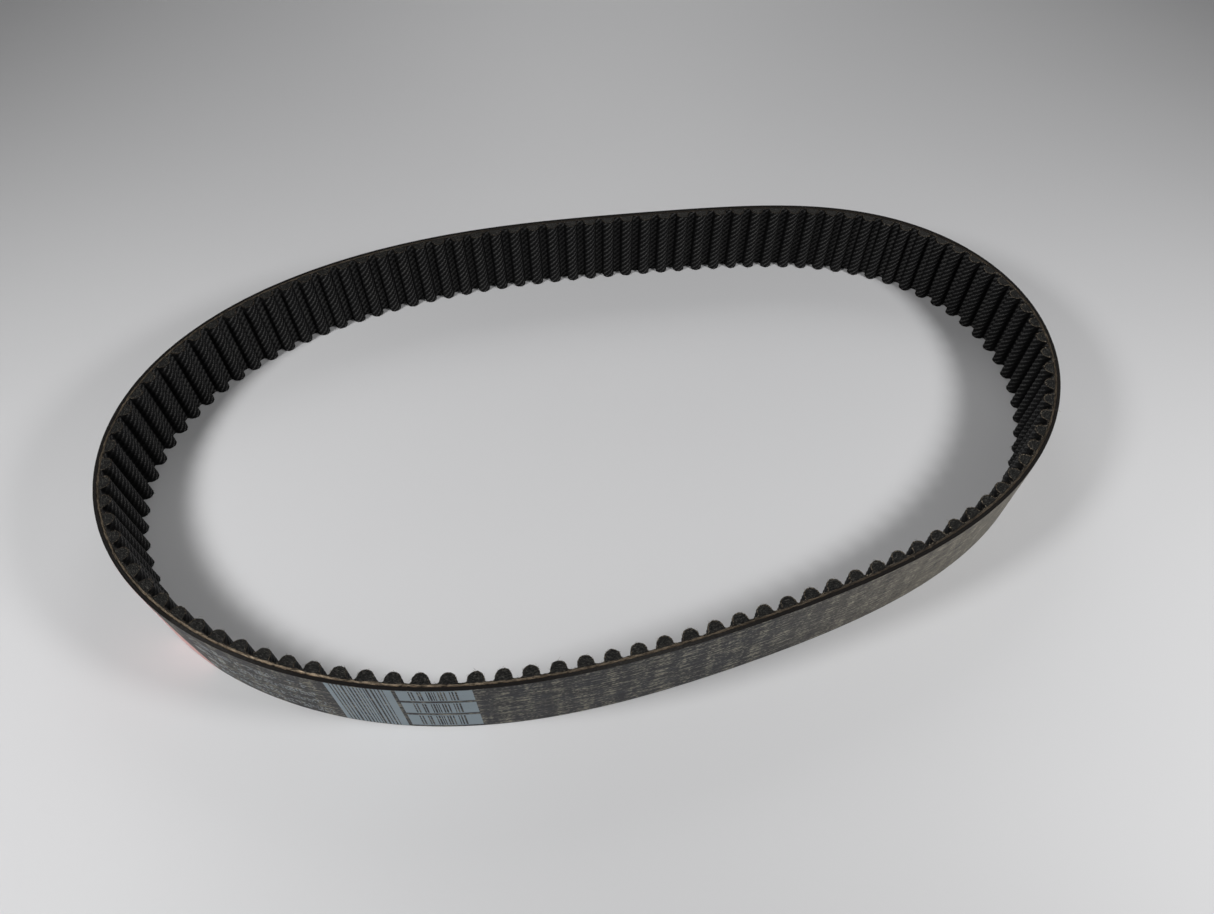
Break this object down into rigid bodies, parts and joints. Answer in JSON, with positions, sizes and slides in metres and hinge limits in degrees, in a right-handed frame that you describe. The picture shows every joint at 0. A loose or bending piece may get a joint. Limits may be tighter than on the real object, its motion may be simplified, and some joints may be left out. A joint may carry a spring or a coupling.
{
  "type": "timing belt",
  "caption": "Endless rubber timing belt standing on edge in an oval, with rounded woven-faced teeth inside, a smooth printed back and a cord layer showing at the cut edges.",
  "frame": {"origin": "under the middle of the loop, on the surface that the belt stands on", "axes": "+X along the long axis of the oval, +Z across the width of the belt, +Y across the oval"},
  "size_m": [0.3463, 0.2008, 0.03],
  "materials": {
    "backing": "matte, fine ground lines along the belt",
    "cord": "frayed glass fibre cord at the cut edge",
    "tooth": "matte cut rubber",
    "facing": "black twill woven nylon, slight sheen",
    "blue_ink": "worn grey-blue printing ink",
    "red_ink": "faded red printing ink"
  },
  "bodies": {
    "span_01_10": {"backing_01": "backing", "cord_01": "cord", "teeth_01": "tooth", "facing_01": "facing", "backing_10": "backing", "cord_10": "cord", "teeth_10": "tooth", "facing_10": "facing", "print_block": "blue_ink", "print_strip_low": "blue_ink", "print_strip_middle": "blue_ink", "print_strip_high": "blue_ink", "print_row_1": "blue_ink", "print_row_2": "blue_ink", "print_row_3": "blue_ink", "print_row_4": "blue_ink", "print_band_red": "red_ink"},
    "span_02": {"backing_02": "backing", "cord_02": "cord", "teeth_02": "tooth", "facing_02": "facing"},
    "span_03": {"backing_03": "backing", "cord_03": "cord", "teeth_03": "tooth", "facing_03": "facing"},
    "span_04": {"backing_04": "backing", "cord_04": "cord", "teeth_04": "tooth", "facing_04": "facing"},
    "span_05": {"backing_05": "backing", "cord_05": "cord", "teeth_05": "tooth", "facing_05": "facing"},
    "span_06": {"backing_06": "backing", "cord_06": "cord", "teeth_06": "tooth", "facing_06": "facing"},
    "span_07": {"backing_07": "backing", "cord_07": "cord", "teeth_07": "tooth", "facing_07": "facing"},
    "span_08": {"backing_08": "backing", "cord_08": "cord", "teeth_08": "tooth", "facing_08": "facing"},
    "span_09": {"backing_09": "backing", "cord_09": "cord", "teeth_09": "tooth", "facing_09": "facing"}
  },
  "joints": [
    {"name": "flex_02", "type": "hinge", "parent": "span_01_10", "child": "span_02", "pos_m": [-0.0237, -0.09886, 0.015], "axis": [0, 0, -1], "range_deg": [-20, 12], "stiffness_Nm_per_rad": 0.02},
    {"name": "flex_03", "type": "hinge", "parent": "span_02", "child": "span_03", "pos_m": [0.06337, -0.08997, 0.015], "axis": [0, 0, -1], "range_deg": [-10.3, 6.2], "stiffness_Nm_per_rad": 0.02},
    {"name": "flex_04", "type": "hinge", "parent": "span_03", "child": "span_04", "pos_m": [0.14253, -0.05477, 0.015], "axis": [0, 0, -1], "range_deg": [-11.3, 18.8], "stiffness_Nm_per_rad": 0.02},
    {"name": "flex_05", "type": "hinge", "parent": "span_04", "child": "span_05", "pos_m": [0.16946, 0.0247, 0.015], "axis": [0, 0, -1], "range_deg": [-6.9, 11.5], "stiffness_Nm_per_rad": 0.02},
    {"name": "flex_09", "type": "hinge", "parent": "span_01_10", "child": "span_09", "pos_m": [-0.16726, -0.01877, 0.015], "axis": [0, 0, -1], "range_deg": [-14.2, 8.5], "stiffness_Nm_per_rad": 0.02},
    {"name": "flex_08", "type": "hinge", "parent": "span_09", "child": "span_08", "pos_m": [-0.14748, 0.0618, 0.015], "axis": [0, 0, -1], "range_deg": [-15.6, 9.4], "stiffness_Nm_per_rad": 0.02},
    {"name": "flex_07", "type": "hinge", "parent": "span_08", "child": "span_07", "pos_m": [-0.06777, 0.09624, 0.015], "axis": [0, 0, -1], "range_deg": [-5.6, 9.4], "stiffness_Nm_per_rad": 0.02},
    {"name": "flex_06", "type": "hinge", "parent": "span_07", "child": "span_06", "pos_m": [0.02041, 0.09599, 0.015], "axis": [0, 0, -1], "range_deg": [-12.2, 20.4], "stiffness_Nm_per_rad": 0.02}
  ],
  "couplings": [
    {"joint": "flex_03", "follows": "flex_02", "ratio": 0.5125},
    {"joint": "flex_04", "follows": "flex_02", "ratio": -0.9385},
    {"joint": "flex_05", "follows": "flex_02", "ratio": -0.5724},
    {"joint": "flex_09", "follows": "flex_02", "ratio": 0.7068},
    {"joint": "flex_08", "follows": "flex_02", "ratio": 0.7767},
    {"joint": "flex_07", "follows": "flex_02", "ratio": -0.4657},
    {"joint": "flex_06", "follows": "flex_02", "ratio": -1.0163}
  ]
}
